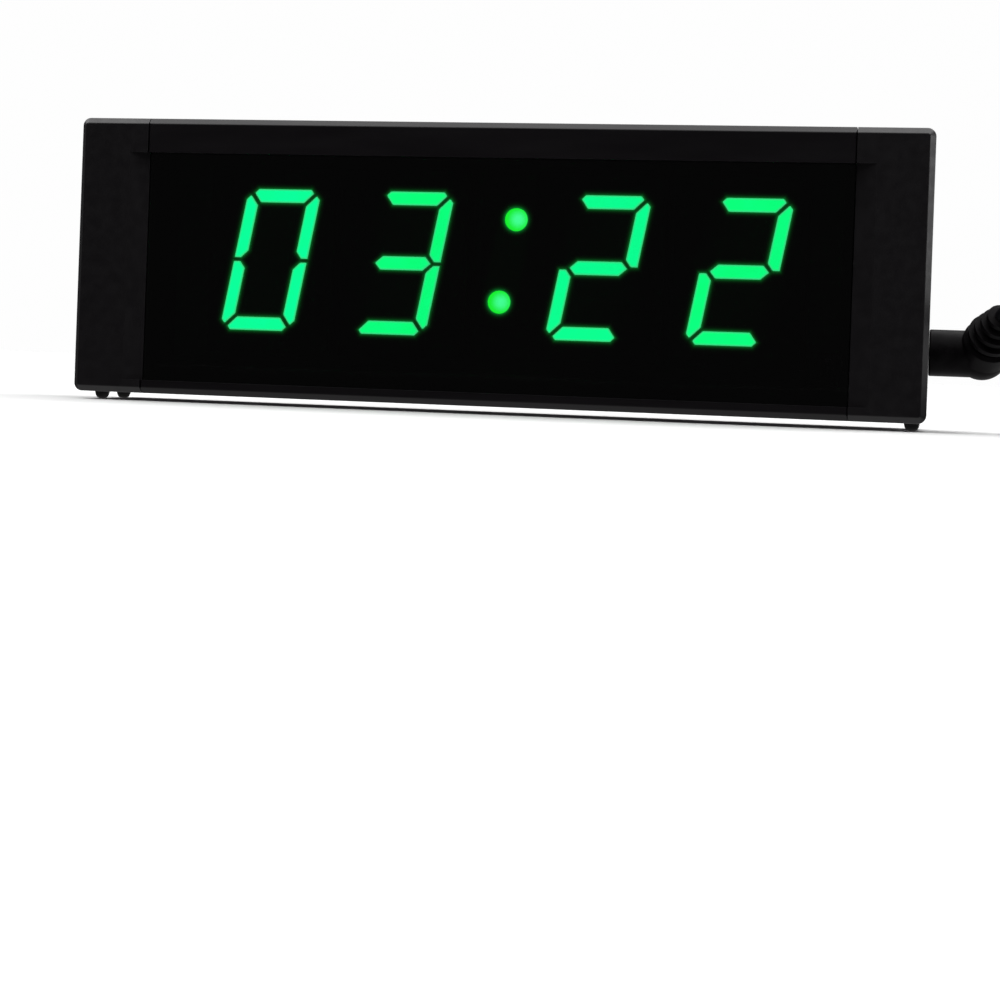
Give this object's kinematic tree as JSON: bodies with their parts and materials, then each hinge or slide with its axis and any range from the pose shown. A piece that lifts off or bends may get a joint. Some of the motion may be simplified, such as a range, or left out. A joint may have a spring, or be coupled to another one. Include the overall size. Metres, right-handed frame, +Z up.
{
  "type": "gym round timer",
  "caption": "Desk or wall interval timer: long black case, slanted green seven-segment digits behind a smoked lens, small feet, rear hanging channel and a plugged-in adapter lead.",
  "frame": {"origin": "on the standing surface, below the middle of the case", "axes": "+Z up, display faces -Y, +X to the right when reading the display"},
  "size_m": [0.407, 0.0573, 0.0732],
  "materials": {
    "black_profile": "satin black anodised extrusion",
    "black_abs": "fine-textured moulded ABS",
    "screw_steel": "blackened steel",
    "smoked_lens": "glossy smoked acrylic",
    "foot_rubber": "soft rubber",
    "plated_steel": "zinc plated",
    "segment_green": "lit diffuser",
    "segment_dark": "unlit diffuser",
    "digit_black": "matt black face",
    "lamp_green": "lit lamp",
    "board_green": "solder mask over glass fibre",
    "chip_black": "moulded package",
    "tin_metal": "bright metal",
    "capacitor_sleeve": "printed sleeve, plain",
    "receiver_tint": "infrared-pass epoxy",
    "connector_white": "nylon",
    "jack_black": "moulded",
    "contact_brass": "plated contact",
    "wire_red": "PVC insulation",
    "wire_black": "PVC insulation",
    "plug_nickel": "nickel plated",
    "plug_black": "soft moulded PVC",
    "cord_pvc": "PVC jacket",
    "tie_black": "soft tie",
    "label_paper": "blank label",
    "adapter_black": "textured moulding",
    "ferrite": "ferrite core and tape"
  },
  "bodies": {
    "timer": {"case_profile": "black_profile", "end_cap_left": "black_abs", "end_cap_right": "black_abs", "end_cap_screws_left": "screw_steel", "end_cap_screws_right": "screw_steel", "lens": "smoked_lens", "foot_front_left": "foot_rubber", "foot_front_right": "foot_rubber", "foot_rear_left": "foot_rubber", "foot_rear_right": "foot_rubber", "dark_segments": "segment_dark", "colon_holder": "digit_black", "colon_lamp_upper": "lamp_green", "colon_lamp_lower": "lamp_green", "display_board": "board_green", "microcontroller": "chip_black", "display_driver": "chip_black", "clock_chip": "chip_black", "clock_crystal": "tin_metal", "coin_cell_holder": "chip_black", "coin_cell": "tin_metal", "buzzer": "chip_black", "storage_capacitors": "capacitor_sleeve", "voltage_regulator": "chip_black", "infrared_receiver": "receiver_tint", "board_connector": "connector_white", "wire_plug": "connector_white", "jack_housing": "jack_black", "jack_pin": "contact_brass", "jack_spring": "contact_brass", "jack_board": "board_green", "jack_board_screws": "screw_steel", "jack_wire_positive": "wire_red", "jack_wire_negative": "wire_black", "digit_1_housing": "digit_black", "digit_1_lit_segments": "segment_green", "digit_2_housing": "digit_black", "digit_2_lit_segments": "segment_green", "digit_3_housing": "digit_black", "digit_3_lit_segments": "segment_green", "digit_4_housing": "digit_black", "digit_4_lit_segments": "segment_green"},
    "left_hanger": {"hanger_plate_left": "plated_steel"},
    "right_hanger": {"hanger_plate_right": "plated_steel"},
    "power_lead": {"plug_barrel": "plug_nickel", "plug_insulator": "plug_black", "plug_contact": "contact_brass", "plug_overmold": "plug_black", "cord_near_plug": "cord_pvc", "cord_coil": "cord_pvc", "cord_tie": "tie_black", "cord_near_adapter": "cord_pvc", "adapter_strain_relief": "plug_black", "adapter_label": "label_paper", "adapter_back_shell": "adapter_black", "adapter_front_shell": "adapter_black", "adapter_blades": "plug_nickel", "adapter_board": "board_green", "adapter_transformer": "ferrite", "adapter_capacitors": "capacitor_sleeve"}
  },
  "joints": [
    {"name": "left_hanger_slide", "type": "slide", "parent": "timer", "child": "left_hanger", "axis": [1, 0, 0], "range_m": [-0.017, 0.044]},
    {"name": "right_hanger_slide", "type": "slide", "parent": "timer", "child": "right_hanger", "axis": [1, 0, 0], "range_m": [-0.044, 0.017]},
    {"name": "plug_slide", "type": "slide", "parent": "timer", "child": "power_lead", "axis": [1, 0, 0], "range_m": [0, 0.012]}
  ]
}
